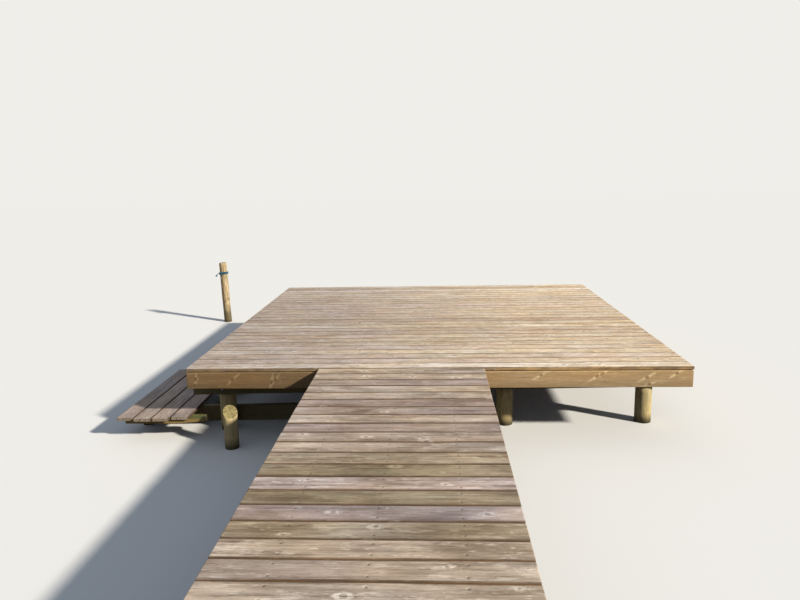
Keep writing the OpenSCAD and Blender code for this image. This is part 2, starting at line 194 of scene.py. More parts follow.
def pine(name, early, late, light, dark, tints, film=1.0, ring=3.5 * MM, ring_shows=0.4, streaks=1.0,
         clouds=1.0, streak_long=0.45, streak_wide=0.021, knot_run=0.36, knot_across=0.12,
         knot_size=11 * MM, knots=None, knot_shows=0.45, halo_shows=0.45, pale_shows=0.5, flecks=0.1,
         fleck_long=45 * MM, fleck_wide=8 * MM, foot=None, fade=None, bump=1.0, heart="#4e3b2c",
         bleached="#d6cab8", edge_dark="#4f3f30", edge_shows=0.75, edge_reach=0.0):
    """Pine cut along its grain. early and late are the colours of its growth rings, and light and dark
    those of the film that sun and rain leave on its upper sides. tints vary it from board to board."""
    material, tree, shader = new_material(name, roughness=0.8, specular_ior_level=0.3)
    face = add(tree, "Attribute", attribute_name="face").node.outputs["Vector"]
    rings = add(tree, "Attribute", attribute_name="rings").node.outputs["Vector"]
    bruising_and_crack_shade = add(tree, "Attribute", attribute_name="bruising_and_crack_shade").node.outputs["Fac"]
    arris = add(tree, "Attribute", attribute_name="arris").node.outputs["Fac"]
    tone = add(tree, "SeparateXYZ", {0: face}).node.outputs["Z"]

    def grain(along, across, board, detail, roughness=0.5):
        """Noise drawn out along the grain, so many times a metre along and across, new on each board."""
        at = add(tree, "VectorMath", {0: face, 1: (along, across, board)}, operation="MULTIPLY")
        return add(tree, "TexNoise", {"Vector": at, "Scale": 1.0, "Detail": detail, "Roughness": roughness})

    # Along and across the grain: fibres 38 by 1.4 mm, tufts of them 140 by 5 mm, patches 385 by 110 mm,
    # blotches 125 by 38 mm, and a slow drift of 900 by 330 mm. A real fibre, 3 mm long and far below
    # a tenth of a millimetre wide, is too fine to show, so it is drawn this coarse
    fibre = grain(26, 700, 57, 3.0)
    tuft = grain(7, 210, 61, 2.0)
    streak = grain(1 / streak_long, 1 / streak_wide, 53, 4.0, 0.62)
    patch = grain(2.6, 9, 31, 3.0, 0.6)
    blotch = grain(8, 26, 71, 4.0, 0.65)
    drift = grain(1.1, 3, 17, 1.0)
    fleck = grain(1 / fleck_long, 1 / fleck_wide, 83, 2.0)
    # Knots, with ragged outlines: a heart, a thin rim round it, and a halo of pale wood drawn out beside it
    if knots:
        to_heart, to_halo = placed_knots(tree, face, knots)
        size = knot_size
    else:
        to_heart, to_halo, chance = scattered_knots(tree, face, knot_run, knot_across)
        size = add(tree, "MapRange", {0: chance, 1: 0.4, 2: 0.9, 3: -6 * MM, 4: knot_size})
    uneven = add(tree, "Math", {0: blotch, 1: 16 * MM, 2: to_heart}, operation="MULTIPLY_ADD")
    inside = add(tree, "Math", {0: size, 1: uneven}, operation="SUBTRACT")
    core = add(tree, "MapRange", {0: inside, 1: -9 * MM, 2: -6.5 * MM})
    rim = add(tree, "MapRange", {0: inside, 1: -10.2 * MM, 2: -8 * MM})
    rim = add(tree, "Math", {0: rim, 1: core}, operation="SUBTRACT", use_clamp=True)
    uneven = add(tree, "Math", {0: blotch, 1: 44 * MM, 2: to_halo}, operation="MULTIPLY_ADD")
    beside = add(tree, "Math", {0: size, 1: uneven}, operation="SUBTRACT")
    halo = add(tree, "MapRange", {0: beside, 1: -32 * MM, 2: -20 * MM}, interpolation_type="SMOOTHSTEP")
    swell = add(tree, "MapRange", {0: beside, 1: -46 * MM, 2: -18 * MM, 3: 0.0, 4: 9 * MM},
                interpolation_type="SMOOTHSTEP")
    # Growth rings round a pith that lies askew, pushed aside by the knots. They are as wide as in
    # fast-grown pine, 3.5 to 7 mm, so that they show
    flat = add(tree, "VectorMath", {0: rings, 1: (0, 1, 1)}, operation="MULTIPLY")
    radius = add(tree, "VectorMath", {0: flat}, operation="LENGTH")
    waver = add(tree, "Math", {0: patch, 1: 9 * MM, 2: radius}, operation="MULTIPLY_ADD")
    waver = add(tree, "Math", {0: waver, 1: swell}, operation="ADD")
    turn = add(tree, "Math", {0: waver, 1: ring}, operation="DIVIDE")
    turn = add(tree, "Math", {0: turn}, operation="FRACT")
    late_band = add(tree, "ValToRGB", {0: turn}, stops=[
        (0.0, "#000000"), (0.35, "#161616"), (0.86, "#ffffff"), (1.0, "#000000")])
    deep = add(tree, "MapRange", {0: streak, 1: 0.3, 2: 0.7, 3: 0.45 * streaks, 4: -0.15 * streaks})
    deep = add(tree, "Math", {0: late_band, 1: ring_shows, 2: deep}, operation="MULTIPLY_ADD", use_clamp=True)
    wood = add(tree, "Mix", {"Factor": deep, "A": early, "B": late}, data_type="RGBA")
    # The film of weathered fibres on what looks up: streaks along the grain, clouds, and faint rings
    base = 0.5 - 1.3 * streaks - 0.9 * clouds
    amount = add(tree, "Math", {0: streak, 1: 2.6 * streaks, 2: base}, operation="MULTIPLY_ADD")
    amount = add(tree, "Math", {0: patch, 1: 1.8 * clouds, 2: amount}, operation="MULTIPLY_ADD")
    amount = add(tree, "Math", {0: late_band, 1: -0.5 * ring_shows, 2: amount}, operation="MULTIPLY_ADD",
                 use_clamp=True)
    film_colour = add(tree, "Mix", {"Factor": amount, "A": dark, "B": light}, data_type="RGBA")
    normal = add(tree, "NewGeometry").node.outputs["Normal"]
    upward = add(tree, "SeparateXYZ", {0: normal}).node.outputs["Z"]
    film_there = add(tree, "MapRange", {0: upward, 1: 0.25, 2: 0.9, 3: 0.0, 4: film})
    colour = add(tree, "Mix", {"Factor": film_there, "A": wood, "B": film_colour}, data_type="RGBA")
    # Sun-bleached blotches with ragged ends, most of them beside the knots, where the rings show through.
    # On the facing beams the halos are as clear on the upright sides as on top
    ragged = add(tree, "Math", {0: tuft, 1: 0.3, 2: blotch}, operation="MULTIPLY_ADD")
    pale = add(tree, "MapRange", {0: ragged, 1: 0.71, 2: 0.78, 3: 0.0, 4: pale_shows})
    if not knots:
        whorl = add(tree, "MapRange", {0: late_band, 1: 0.0, 2: 1.0, 3: 1.4, 4: 0.5})
        whorl = add(tree, "Math", {0: halo, 1: whorl}, operation="MULTIPLY")
        pale = add(tree, "Math", {0: whorl, 1: halo_shows, 2: pale}, operation="MULTIPLY_ADD")
    sunned = add(tree, "MapRange", {0: upward, 1: 0.25, 2: 0.9, 3: 0.3, 4: 1.0})
    pale = add(tree, "Math", {0: pale, 1: sunned}, operation="MULTIPLY", use_clamp=True)
    if knots:
        pale = add(tree, "Math", {0: halo, 1: halo_shows, 2: pale}, operation="MULTIPLY_ADD", use_clamp=True)
    colour = add(tree, "Mix", {"Factor": pale, "A": colour, "B": bleached}, data_type="RGBA")
    # Each board has a tint of its own, which drifts along it, mauve in one place and golden in the next
    place = add(tree, "Math", {0: drift, 1: 0.6, 2: tone}, operation="MULTIPLY_ADD")
    place = add(tree, "Math", {0: place, 1: 0.3}, operation="SUBTRACT")
    tint = add(tree, "ValToRGB", {0: place}, stops=[(i / (len(tints) - 1), c) for i, c in enumerate(tints)])
    mood = add(tree, "MapRange", {0: grain(1.7, 5, 29, 2.0), 1: 0.36, 2: 0.64})
    mood = add(tree, "Mix", {"Factor": mood, "A": MAUVE, "B": GOLDEN}, data_type="RGBA")
    for cast, how in ((tint, "MULTIPLY"), (mood, "MULTIPLY"), (TINT_MEAN, "DIVIDE")):
        colour = add(tree, "Mix", {"Factor": 1.0, "A": colour, "B": cast}, data_type="RGBA", blend_type=how)
    # The knots: a brown heart with its year rings, in a dark rim. They are about 1 mm apart in a real one,
    # and are drawn 4 mm apart so that they show
    year = add(tree, "Math", {0: to_heart, 1: 4 * MM}, operation="DIVIDE")
    year = add(tree, "Math", {0: year}, operation="FRACT")
    year = add(tree, "MapRange", {0: year, 1: 0.0, 2: 1.0, 3: 0.4 * knot_shows, 4: knot_shows})
    for there, strength in ((core, year), (rim, 1.3 * knot_shows)):
        there = add(tree, "Math", {0: there, 1: strength}, operation="MULTIPLY")
        colour = add(tree, "Mix", {"Factor": there, "A": colour, "B": heart}, data_type="RGBA")
    # Drying cracks along the grain, in some places and at the knots. A real one is a hair's breadth wide,
    # and is drawn up to 1.5 mm so that it shows
    crack = add(tree, "Math", {0: grain(5, 80, 43, 1.0), 1: 0.5}, operation="SUBTRACT")
    crack = add(tree, "Math", {0: crack}, operation="ABSOLUTE")
    crack = add(tree, "MapRange", {0: crack, 1: 0.015, 2: 0.05, 3: 1.0, 4: 0.0})
    crack_where = add(tree, "MapRange", {0: streak, 1: 0.42, 2: 0.34, 3: 0.0, 4: 0.7})
    crack_where = add(tree, "Math", {0: halo, 1: 0.1 if knots else 0.6, 2: crack_where},
                      operation="MULTIPLY_ADD", use_clamp=True)
    crack = add(tree, "Math", {0: crack, 1: crack_where}, operation="MULTIPLY")
    colour = add(tree, "Mix", {"Factor": crack, "A": colour, "B": CRACK_DARK}, data_type="RGBA")
    # Dirt and damp along the arrises, and painted shade in the joints between boards, uneven from place to
    # place
    arris_dirt_and_joint_shade = add(tree, "Math", {0: streak, 1: 1.6, 2: arris}, operation="MULTIPLY_ADD")
    arris_dirt_and_joint_shade = add(tree, "Math", {0: blotch, 1: 1.1, 2: arris_dirt_and_joint_shade}, operation="MULTIPLY_ADD")
    arris_dirt_and_joint_shade = add(tree, "MapRange", {0: arris_dirt_and_joint_shade, 1: 1.8 - edge_reach, 2: 2.55 - edge_reach, 3: 0.0, 4: edge_shows})
    colour = add(tree, "Mix", {"Factor": arris_dirt_and_joint_shade, "A": colour, "B": edge_dark}, data_type="RGBA")
    # Fibres, their tufts, and flecks: dark where fibres have torn out, pale where they have risen
    for pattern, low, high, at_low, at_high in (
        (fibre, 0.25, 0.75, 0.92, 1.08),
        (tuft, 0.3, 0.7, 0.9, 1.1),
        (fleck, 0.36, 0.42, 1.0 - flecks, 1.0),
        (fleck, 0.58, 0.64, 1.0, 1.0 + 0.7 * flecks),
    ):
        gain = add(tree, "MapRange", {0: pattern, 1: low, 2: high, 3: at_low, 4: at_high})
        colour = add(tree, "VectorMath", {0: colour, "Scale": gain}, operation="SCALE")
    # The wood bruised and stained round each screw, and painted shade inside a post's drying crack
    screw_stain_and_crack_shade = add(tree, "MapRange", {0: bruising_and_crack_shade, 1: 0.6, 2: 1.0, 3: 0.0, 4: 0.3}, interpolation_type="SMOOTHSTEP")
    colour = add(tree, "Mix", {"Factor": screw_stain_and_crack_shade, "A": colour, "B": SCREW_STAIN_AND_CRACK_SHADE}, data_type="RGBA")
    if foot:
        # A post's foot: dark and damp up to an uneven line, which has dried pale
        foot_high, foot_dark, foot_deep = foot
        up = add(tree, "SeparateXYZ", {0: rings})
        edge = add(tree, "Math", {0: patch, 1: 30 * MM, 2: up}, operation="MULTIPLY_ADD")
        line = add(tree, "Math", {0: edge, 1: foot_high + 20 * MM}, operation="SUBTRACT")
        line = add(tree, "Math", {0: line}, operation="ABSOLUTE")
        line = add(tree, "MapRange", {0: line, 1: 4 * MM, 2: 16 * MM, 3: 0.12, 4: 0.0})
        colour = add(tree, "Mix", {"Factor": line, "A": colour, "B": bleached}, data_type="RGBA")
        wet = add(tree, "MapRange", {0: edge, 1: foot_high + 12 * MM, 2: foot_high - foot_deep,
                                     3: 0.0, 4: 0.8})
        colour = add(tree, "Mix", {"Factor": wet, "A": colour, "B": foot_dark}, data_type="RGBA")
    if fade:
        # The platform grows darker and cooler towards its left, and the facing beams darker towards their
        # left and towards their lower edge. Whether that is the wood or the light isn't known: it is drawn as
        # the wood's colour
        fade_reach, fade_tint = fade
        at = add(tree, "SeparateXYZ", {0: add(tree, "NewGeometry").node.outputs["Position"]}).node
        side = add(tree, "MapRange", {0: at.outputs["X"], 1: DECK_MIDDLE - fade_reach,
                                      2: DECK_MIDDLE + fade_reach, 3: 1.0, 4: 0.0},
                   interpolation_type="SMOOTHSTEP")
        colour = add(tree, "Mix", {"Factor": side, "A": colour, "B": fade_tint}, data_type="RGBA",
                     blend_type="MULTIPLY")
        lower_edge_darkening = add(tree, "MapRange", {0: at.outputs["Z"], 1: LOW_EDGE[0], 2: LOW_EDGE[1],
                                       3: LOW_EDGE_SHARE, 4: 1.0})
        colour = add(tree, "VectorMath", {0: colour, "Scale": lower_edge_darkening}, operation="SCALE")
    tree.links.new(colour, shader.inputs["Base Color"])
    dry = add(tree, "MapRange", {0: streak, 1: 0.3, 2: 0.7, 3: 0.68, 4: 0.86})
    tree.links.new(dry, shader.inputs["Roughness"])
    # Relief of half a millimetre: late wood and knots stand proud of the worn early wood, cracks go in
    relief = add(tree, "Math", {0: late_band, 1: 0.22, 2: fibre}, operation="MULTIPLY_ADD")
    relief = add(tree, "Math", {0: crack, 1: -1.6, 2: relief}, operation="MULTIPLY_ADD")
    relief = add(tree, "Math", {0: core, 1: 0.5, 2: relief}, operation="MULTIPLY_ADD")
    relief = add(tree, "Bump", {"Strength": 1.0, "Distance": 0.5 * MM * bump, "Height": relief})
    tree.links.new(relief, shader.inputs["Normal"])
    return material


def sawn_end(name, early, late, dark, ring=3.5 * MM):
    """Pine cut across its grain: the growth rings in section, with drying cracks from the pith out."""
    material, tree, shader = new_material(name, roughness=0.9, specular_ior_level=0.25)
    rings = add(tree, "Attribute", attribute_name="rings").node.outputs["Vector"]
    flat = add(tree, "VectorMath", {0: rings, 1: (0, 1, 1)}, operation="MULTIPLY")
    # Blotches of grime 24 mm across
    blotch = add(tree, "TexNoise", {"Vector": flat, "Scale": 42.0, "Detail": 4.0})
    radius = add(tree, "VectorMath", {0: flat}, operation="LENGTH")
    waver = add(tree, "Math", {0: blotch, 1: 3 * MM, 2: radius}, operation="MULTIPLY_ADD")
    turn = add(tree, "Math", {0: waver, 1: ring}, operation="DIVIDE")
    turn = add(tree, "Math", {0: turn}, operation="FRACT")
    band = add(tree, "ValToRGB", {0: turn}, stops=[
        (0.0, "#000000"), (0.4, "#202020"), (0.85, "#ffffff"), (1.0, "#000000")])
    seen = add(tree, "Math", {0: band, 1: 0.6}, operation="MULTIPLY")
    colour = add(tree, "Mix", {"Factor": seen, "A": early, "B": late}, data_type="RGBA")
    # Cracks run out from the pith like spokes
    axis = add(tree, "SeparateXYZ", {0: flat}).node
    angle = add(tree, "Math", {0: axis.outputs["Y"], 1: axis.outputs["Z"]}, operation="ARCTAN2")
    spoke_at = add(tree, "CombineXYZ", {0: angle, 1: 0.0, 2: 0.0})
    spoke = add(tree, "TexNoise", {"Vector": spoke_at, "Scale": 5.0, "Detail": 2.0})
    spoke = add(tree, "Math", {0: spoke, 1: 0.5}, operation="SUBTRACT")
    spoke = add(tree, "Math", {0: spoke}, operation="ABSOLUTE")
    spoke = add(tree, "MapRange", {0: spoke, 1: 0.004, 2: 0.02, 3: 0.85, 4: 0.0})
    grime = add(tree, "MapRange", {0: blotch, 1: 0.52, 2: 0.3, 3: 0.0, 4: 0.55})
    for mark in (spoke, grime):
        colour = add(tree, "Mix", {"Factor": mark, "A": colour, "B": dark}, data_type="RGBA")
    tree.links.new(colour, shader.inputs["Base Color"])
    relief = add(tree, "Math", {0: spoke, 1: -1.0, 2: blotch}, operation="MULTIPLY_ADD")
    relief = add(tree, "Bump", {"Strength": 1.0, "Distance": 0.6 * MM, "Height": relief})
    tree.links.new(relief, shader.inputs["Normal"])
    return material


def zinc(name, bright, dull, roughness):
    """Zinc-coated steel gone dull outdoors: patches of a matt grey bloom on a soft metal shine."""
    material, tree, shader = new_material(name, roughness=roughness, metallic=0.7)
    place = add(tree, "TexCoord").node.outputs["Object"]
    # Patches of bloom 5.6 mm across
    bloom = add(tree, "TexNoise", {"Vector": place, "Scale": 180.0, "Detail": 4.0})
    mixed = add(tree, "MapRange", {0: bloom, 1: 0.35, 2: 0.65})
    colour = add(tree, "Mix", {"Factor": mixed, "A": bright, "B": dull}, data_type="RGBA")
    tree.links.new(colour, shader.inputs["Base Color"])
    matt = add(tree, "MapRange", {0: bloom, 1: 0.3, 2: 0.7, 3: roughness - 0.1, 4: roughness + 0.2})
    tree.links.new(matt, shader.inputs["Roughness"])
    return material


# Platform boards: planed pine left untreated, dry and beige, streaked with silver
platform_pine = pine(
    "weathered_platform_pine", early="#c3a67a", late="#947754", light="#fcf2e3", dark="#c5b298",
    tints=["#cfc0b4", "#dbd0c6", "#e6dccb", "#e6dad4", "#efe6d6", "#f3eade", "#fbf6f0"],
    streaks=0.75, streak_long=0.7, streak_wide=0.02, ring_shows=0.3, fade=(1.9, "#d0d4e2"),
    bleached="#fff8ee", knot_run=0.28, knot_size=12 * MM, knot_shows=0.8, halo_shows=0.8, pale_shows=0.8,
    flecks=0.22, fleck_long=70 * MM, fleck_wide=26 * MM, edge_dark="#584532", edge_shows=1.0,
    edge_reach=0.1)
# Gangway boards: the same pine trodden and rained on, greyer, with mauve and olive boards among them
gangway_pine = pine(
    "weathered_gangway_pine", early="#87694a", late="#583f2b", light="#cdc1b5", dark="#827466",
    tints=["#fdf6fa", "#cfc9d2", "#dcd1d2", "#e2dad4", "#fbf5ee", "#f0e8da", "#d8d2c4", "#bcb5a0"],
    streaks=0.62, clouds=1.2, streak_long=0.75, streak_wide=0.022, bleached="#e8dfd4",
    knot_size=13 * MM, knot_shows=0.6, halo_shows=0.75, pale_shows=0.38, flecks=0.14,
    fleck_long=32 * MM, edge_shows=0.95)
# Landing boards: low down and seldom dry, grey and slightly pink
landing_pine = pine(
    "weathered_landing_pine", early="#5e5248", late="#40372f", light="#bdb6b1", dark="#89827e",
    tints=["#e8dcda", "#e2d8d2", "#efe6de", "#e2dcd0"], streaks=0.7, bleached="#d2c6ba", flecks=0.15)
# Landing plank: a sawn pine offcut under the boards' ends, green with moss on top and yellow at its sides
plank_pine = pine(
    "mossy_plank_pine", early="#a88a5c", late="#7d6440", light="#717046", dark="#4e4e2b",
    tints=["#e8e8d8", "#e8e8d8"], bleached="#a39a70", edge_dark="#6b5a34")
# Facing beams: planed pressure-treated pine, yellow brown, with clear knots. Each knot is placed by the
# distance along the beam and the way round it from the middle of its underside, with its slant
FASCIA_KNOTS = [
    (0.076, 0.255, 1.4), (0.067, 0.313, 1.2), (0.39, 0.262, 0.75), (0.72, 0.281, 1.3),
    (0.755, 0.262, 0.9), (2.956, 0.231, 0.55), (3.41, 0.243, 0.55), (3.45, 0.224, 0.6),
    (3.81, 0.254, 0.5), (3.83, 0.311, 0.3), (4.049, 0.221, 0.6),
]
facing_pine = pine(
    "planed_facing_pine", early="#bfa381", late="#937855", light="#d6c19c", dark="#b59c76",
    tints=["#ece6da", "#e8e4d8"], ring=5 * MM, knots=FASCIA_KNOTS, knot_size=12 * MM, knot_shows=0.9,
    halo_shows=0.75, ring_shows=0.6, fade=(1.2, "#b0aaa2"), heart="#6f4019", bleached="#ead4ae",
    edge_dark="#cdb183", edge_shows=0.5)
# Side beams: the same planed pine, with fainter rings and ordinary knots
side_pine = pine(
    "planed_side_pine", early="#c9ae84", late="#a5875c", light="#d6c19c", dark="#b59c76",
    tints=["#ece6da", "#e8e4d8"], ring=5 * MM, ring_shows=0.35, heart="#5e4329", bleached="#e2cda6",
    edge_dark="#8f7448")
# Frame: rough-sawn pressure-treated pine, greenish brown, darkened with painted shade because it lies under
# the platform
frame_pine_shade_darkened = pine(
    "sawn_frame_pine", early="#6f654b", late="#544a35", light="#857858", dark="#605540",
    tints=["#e6e2cc", "#ebe4d4", "#dedac4"], film=0.5, bump=1.8, bleached="#8c815f")
# Posts: turned pressure-treated pine, greenish yellow, dark at the foot. foot is how high the dark
# reaches, its colour, and how far it takes to deepen
post_pine = pine(
    "turned_post_pine", early="#cbbc95", late="#98865e", light="#ab9c72", dark="#857852",
    tints=["#e8e2d0", "#ece4d6", "#dedac8"], ring=6 * MM, film=0.3, ring_shows=0.35,
    foot=(0.1, "#4a4634", 0.06), bleached="#d0c09a")
# Mooring pile: a peeled pine pole left untreated, straw yellow with bleached and torn streaks
pile_pine = pine(
    "peeled_pile_pine", early="#bba989", late="#7e6747", light="#bdac8b", dark="#8e764e",
    tints=["#efe9dc", "#efe9dc"], ring=7 * MM, film=0.2, ring_shows=0.55, clouds=1.6,
    foot=(0.3, "#4e482d", 0.15), bleached="#eee6d2", pale_shows=1.0, flecks=0.35,
    fleck_long=90 * MM, fleck_wide=20 * MM)
# Sawn ends: the boards' gone grey, the posts' still yellow with clear rings
board_ends = sawn_end("sawn_board_ends", "#a09080", "#7c6c5a", "#4c4036")
post_ends = sawn_end("sawn_post_ends", "#a89b6a", "#6c5e3a", "#3c341f", ring=6 * MM)
# Screws: zinc-plated steel worn dull and a little brown. Bolts: hot-dip galvanised steel, grey and matt
screw_steel = zinc("dull_screw_steel", "#a39a8c", "#7b7266", 0.4)
bolt_zinc = zinc("galvanised_bolts", "#6f7172", "#525559", 0.6)


# Wood cut to size

# Corners closer than this are one
WELD = 0.01 * MM
# Places along or across a timber closer than this are the same
SAME = 0.001 * MM
# How far from an arris dirt, wear and painted joint shade reach, and the height from which a timber's sides
# show it
ARRIS_REACH = 14 * MM
TALL = 60 * MM
# Points on each eased arris, and how far the flats beside it keep their corners, in shares of its ease
ARC_POINTS = 3
SUPPORT = 1.6
# A screw hole's radius, its depth and its corners, half the square that it is cut in, and how far the
# screws stand from a board's middle
HOLE = 3.6 * MM
HOLE_DEPTH = 1.6 * MM
HOLE_SIDES = 8
CELL = 13 * MM
SCREW_SIDE = 42 * MM
# How sawn ends are eased, and where the flats behind them begin
CHAMFER = 1.3 * MM
END_FLAT = 5 * MM
# How often in a metre a timber's sides wander
WANDERS = 2.6


def solids(node):
    """The separate solids of a CAD node: a list of arrays of their corners."""
    mesh = bmesh.new()
    mesh.from_mesh(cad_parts[node].data)
    bmesh.ops.remove_doubles(mesh, verts=mesh.verts, dist=WELD)
    left = set(mesh.verts)
    found = []
    while left:
        island = [left.pop()]
        for vertex in island:
            for edge in vertex.link_edges:
                other = edge.other_vert(vertex)
                if other in left:
                    left.discard(other)
                    island.append(other)
        found.append(np.array([v.co[:] for v in island]))
    mesh.free()
    return found


class Beam:
    """A straight squared timber of the CAD model: where it lies and how big it is."""

    def __init__(self, corners, along=None):
        middle = (corners.min(0) + corners.max(0)) / 2
        level = corners[:, :2] - middle[:2]
        if along is None:
            along = np.linalg.svd(level, full_matrices=False)[2][0]
        if along[np.argmax(abs(along))] < 0:
            along = -along
        self.along = Vector((along[0], along[1], 0)).normalized()
        self.across = UP.cross(self.along)
        self.low = Vector(corners.min(0))
        self.high = Vector(corners.max(0))
        self.middle = Vector(middle)
        reach = level @ along
        self.length = reach.max() - reach.min()
        aside = level @ np.array(self.across[:2])
        self.width = aside.max() - aside.min()
        self.height = self.high.z - self.low.z
        start = self.middle - self.along * self.length / 2
        start.z = self.low.z
        self.start = start


def beams(*nodes):
    """The squared timbers of these nodes, from the front and the left on."""
    found = [Beam(corners) for node in nodes for corners in solids(node)]
    return sorted(found, key=lambda b: (round(b.middle.y, 3), round(b.middle.x, 3)))


class Stock:
    """Wood gathered for one piece: its corners with their grain, and its faces. A corner's rings are its
    place measured from the pith, and its face the ways along and round the timber and the timber's tone. wear
    is how bruised it is round a screw, and how much shade is painted inside a post's drying crack, and arris
    how near an arris."""

    def __init__(self, seed):
        self.random = random.Random(seed)
        self.corners = []
        self.rings = []
        self.face = []
        self.bruising_and_crack_shade = []
        self.arris = []
        self.faces = []
        self.ends = set()

    def corner(self, place, rings, face, bruising_and_crack_shade=0.0, arris=0.0):
        """Adds a corner and returns its number."""
        self.corners.append(place)
        self.rings.append(rings)
        self.face.append(face)
        self.bruising_and_crack_shade.append(bruising_and_crack_shade)
        self.arris.append(arris)
        return len(self.corners) - 1

    def end(self, corners):
        """Adds a face that is sawn across the grain."""
        self.ends.add(len(self.faces))
        self.faces.append(corners)

    def piece(self, name, sides, ends, slot, *nodes):
        """Makes the mesh, with one material along the grain and one across it, and settles it."""
        mesh = bpy.data.meshes.new(name)
        mesh.from_pydata(self.corners, [], self.faces)
        for attribute, kind, field, values in (
            ("rings", "FLOAT_VECTOR", "vector", self.rings),
            ("face", "FLOAT_VECTOR", "vector", self.face),
            ("bruising_and_crack_shade", "FLOAT", "value", self.bruising_and_crack_shade),
            ("arris", "FLOAT", "value", self.arris),
        ):
            layer = mesh.attributes.new(attribute, kind, "POINT")
            layer.data.foreach_set(field, np.array(values, np.float32).ravel())
        mesh.materials.append(sides)
        mesh.materials.append(ends)
        for polygon in mesh.polygons:
            cut = polygon.index in self.ends
            polygon.material_index = 1 if cut else 0
            polygon.use_smooth = not cut
        mesh.update()
        return settle(name, mesh, slot, *nodes)


def settle(name, mesh, slot, *nodes):
    """Puts a finished mesh in the scene, on the jetty's body, in place of these CAD nodes."""
    piece = bpy.data.objects.new(name, mesh)
    bpy.context.scene.collection.objects.link(piece)
    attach(piece, "root")
    if nodes:
        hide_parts(*nodes)
    return piece


def section(width, height, ease, lines=()):
    """A squared timber's cross-section as (across, up, way round, nearness to an arris), from its
    underside's middle round. lines are places across its top that get corners of their own."""
    half = width / 2
    points = [(0.0, 0.0, 0.5)]
    support = ease * SUPPORT
    inner = half - min(0.1 * width, ARRIS_REACH)
    tall = height > TALL
    side_arris = 0.75 if tall else 0.7
    for side, level, begin in ((1, 0, -90), (1, 1, 0), (-1, 1, 90), (-1, 0, 180)):
        centre = (side * (half - ease), height - ease if level else ease)
        arc = []
        for k in range(ARC_POINTS):
            angle = math.radians(begin + 90 * k / (ARC_POINTS - 1))
            arc.append((centre[0] + ease * math.cos(angle), centre[1] + ease * math.sin(angle), 1.0))
        flat = [(side * (half - support), height if level else 0.0, 0.75)]
        upright = [(side * half, height - support if level else support, side_arris)]
        clear = [(side * half, height - ARRIS_REACH if level else ARRIS_REACH, 0.0)] if tall else []
        if (side, level) in ((1, 1), (-1, 0)):
            points += clear + upright + arc + flat
        else:
            points += flat + arc + upright + clear
        if (side, level) == (1, 1):
            points += [(inner, height, 0.0)]
            points += [(y, height, 0.0) for y in sorted(lines, reverse=True)]
            points += [(-inner, height, 0.0)]
    points.append((0.0, 0.0, 0.5))
    way = 0.0
    profile = []
    for i, (y, z, arris) in enumerate(points):
        if i:
            way += math.hypot(y - points[i - 1][0], z - points[i - 1][1])
        profile.append((y, z, way, arris))
    return profile


class Pith:
    """Where a timber's pith lies beside it, and how it slants, so that its rings show as arches."""

    def __init__(self, dice, width):
        self.y = dice.uniform(-0.5, 0.5) * width
        self.z = dice.choice((-1, -1, 1)) * dice.uniform(0.5, 2.4) * min(width, 80 * MM)
        self.slant_y = dice.uniform(-0.009, 0.009)
        self.slant_z = dice.uniform(-0.014, 0.014)

    def rings(self, x, y, z):
        """A place in the timber, measured from its pith."""
        return (x, y - self.y - self.slant_y * x, z - self.z - self.slant_z * x)


def squared(stock, beam, ease=3 * MM, rows=(), wander=0.6 * MM, cup=0.8 * MM, ends=1.0 * MM,
            lift=0.6 * MM, grid=0.45, screws=None, tone=None, offset=None):
    """Adds one squared timber. ease rounds its arrises, and wander, cup, ends and lift are how far its
    sides, its top's middle, its ends and its thickness stray. rows are the places along it where two
    screws go in, side by side, and screws collects where they sit."""
    dice = stock.random
    pith = Pith(dice, beam.width)
    tone = dice.random() if tone is None else tone
    offset = dice.uniform(0, 400) if offset is None else offset
    cupped = dice.uniform(-cup, cup)
    height = beam.height + dice.uniform(-lift, 0)
    lines = [s * SCREW_SIDE + t * CELL for s in (-1, 1) for t in (-1, 1)] if rows else []
    profile = section(beam.width, height, ease, lines)
    count = len(profile)
    first = dice.uniform(-ends, ends)
    last = beam.length + dice.uniform(-ends, ends)
    stations = [first, first + CHAMFER, first + END_FLAT, last - END_FLAT, last - CHAMFER, last]
    stations += [x + t * CELL for x in rows for t in (-1, 1)]
    plain = max(2, round(beam.length / grid))
    stations += [
        x for x in (beam.length * k / plain for k in range(1, plain))
        if all(abs(x - other) > 2 * CELL for other in stations)
    ]
    stations.sort()
    left_wander = dice.uniform(0, 90)
    grid_index = []
    for k, x in enumerate(stations):
        inset = CHAMFER if k in (0, len(stations) - 1) else 0.0
        shift = [noise.noise((x * WANDERS, left_wander + s, 0.5)) * wander * 2 for s in (0, 9)]
        ring = []
        for y, z, way, arris in profile:
            side = 2 * y / beam.width
            yy = y * (1 - 2 * inset / beam.width) + shift[0 if y > 0 else 1] * abs(side)
            zz = inset + z * (height - 2 * inset) / height
            if z > height / 2:
                zz += cupped * (side * side - 0.5)
            place = beam.start + beam.along * x + beam.across * yy + UP * zz
            ring.append(stock.corner(place, pith.rings(x, yy, zz), (x + offset, way, tone), 0.0, arris))
        grid_index.append(ring)
    hole_columns = {}
    for s in (-1, 1):
        for j in range(count - 1):
            y, z = profile[j][:2]
            y2, z2 = profile[j + 1][:2]
            if rows and z == z2 == height and abs((y + y2) / 2 - s * SCREW_SIDE) < SAME:
                hole_columns[j] = s
    for k in range(len(stations) - 1):
        mid = (stations[k] + stations[k + 1]) / 2
        row = next((x for x in rows if abs(x - mid) < SAME), None)
        for j in range(count - 1):
            near, far = grid_index[k], grid_index[k + 1]
            quad = [near[j], near[j + 1], far[j + 1], far[j]]
            if row is not None and j in hole_columns:
                aside = hole_columns[j] * SCREW_SIDE
                countersink(stock, beam, quad, row, aside, pith, offset, tone, screws)
            else:
                stock.faces.append(quad)
    stock.end(grid_index[-1][:-1])
    stock.end(grid_index[0][:-1][::-1])


